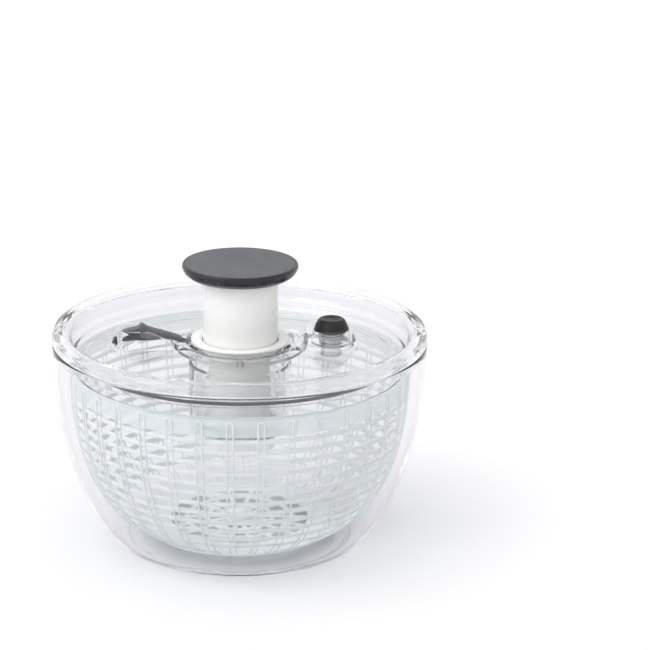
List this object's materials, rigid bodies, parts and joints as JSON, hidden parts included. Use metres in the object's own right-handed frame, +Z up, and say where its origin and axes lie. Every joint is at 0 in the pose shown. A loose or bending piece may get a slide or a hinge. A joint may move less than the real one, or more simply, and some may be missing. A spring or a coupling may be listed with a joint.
{
  "type": "salad spinner",
  "caption": "Push-pump salad spinner: clear bowl, slotted basket on a pivot, clear lid with a spiral-screw pump, a brake button and a lock lever.",
  "frame": {"origin": "middle of the bowl's underside, on the surface it stands on", "axes": "+Z up along the pump's and basket's axis; +X from the axis towards the brake button; -Y towards the viewer"},
  "size_m": [0.267, 0.267, 0.2055],
  "materials": {
    "clear_bowl": "clear gloss",
    "clear_lid": "clear gloss",
    "clear_plate": "clear gloss",
    "pad_white": "matt soft",
    "basket_milky": "milky translucent satin",
    "white_plastic": "satin gloss",
    "housing_clear": "clear gloss",
    "guide_pale": "satin",
    "steel": "plated",
    "screw_steel": "drawn",
    "spring_steel": "drawn wire",
    "bush_ivory": "natural acetal",
    "clutch_acetal": "natural acetal",
    "black_gloss": "gloss",
    "slate_soft": "matt soft touch",
    "black_soft": "satin soft touch",
    "pad_rubber": "matt",
    "lever_dark": "satin"
  },
  "bodies": {
    "bowl": {"bowl": "clear_bowl", "foot_pad": "pad_white"},
    "basket": {"basket": "basket_milky"},
    "lid": {"lid_cover": "clear_lid", "collar": "white_plastic", "pump_housing": "housing_clear", "spring_guide": "guide_pale", "housing_screws": "steel", "screw_bush": "bush_ivory", "retaining_ring": "steel"},
    "drive": {"drive_plate": "clear_plate", "drive_hub": "white_plastic", "hub_screws": "steel"},
    "pump": {"knob_cap": "black_gloss", "knob_pad": "slate_soft", "knob_screw": "steel", "pump_sleeve": "white_plastic", "nut_tube": "white_plastic", "drive_nut": "clutch_acetal", "return_spring": "spring_steel"},
    "spiral": {"drive_screw": "screw_steel", "clutch_driver": "clutch_acetal", "clutch_pawls": "clutch_acetal", "clutch_screw": "steel"},
    "brake": {"brake_button": "black_soft", "brake_stem": "white_plastic", "brake_pad": "pad_rubber", "brake_clip": "steel", "brake_spring": "spring_steel"},
    "lock": {"lock_lever": "lever_dark"}
  },
  "joints": [
    {"name": "basket_spin", "type": "hinge", "parent": "bowl", "child": "basket", "pos_m": [0, 0, 0.012], "axis": [0, 0, 1], "continuous": true},
    {"name": "lid_lift", "type": "slide", "parent": "bowl", "child": "lid", "axis": [0, 0, 1], "range_m": [0, 0.15]},
    {"name": "drive_spin", "type": "hinge", "parent": "lid", "child": "drive", "pos_m": [0, 0, 0.08], "axis": [0, 0, 1], "continuous": true},
    {"name": "pump_stroke", "type": "slide", "parent": "lid", "child": "pump", "axis": [0, 0, -1], "range_m": [0, 0.044], "stiffness_N_per_m": 220, "springref_m": -0.02, "deforming": ["return_spring"]},
    {"name": "spiral_turn", "type": "hinge", "parent": "lid", "child": "spiral", "pos_m": [0, 0, 0.09], "axis": [0, 0, 1], "range_deg": [-5, 725]},
    {"name": "brake_press", "type": "slide", "parent": "lid", "child": "brake", "axis": [0, 0, -1], "range_m": [0, 0.004], "stiffness_N_per_m": 500, "springref_m": -0.003, "deforming": ["brake_spring"]},
    {"name": "lock_slide", "type": "slide", "parent": "lid", "child": "lock", "axis": [1, 0, 0], "range_m": [0, 0.006]}
  ],
  "couplings": [
    {"joint": "drive_spin", "follows": "basket_spin", "ratio": 1},
    {"joint": "spiral_turn", "follows": "pump_stroke", "rad_per_m": 285.6}
  ]
}
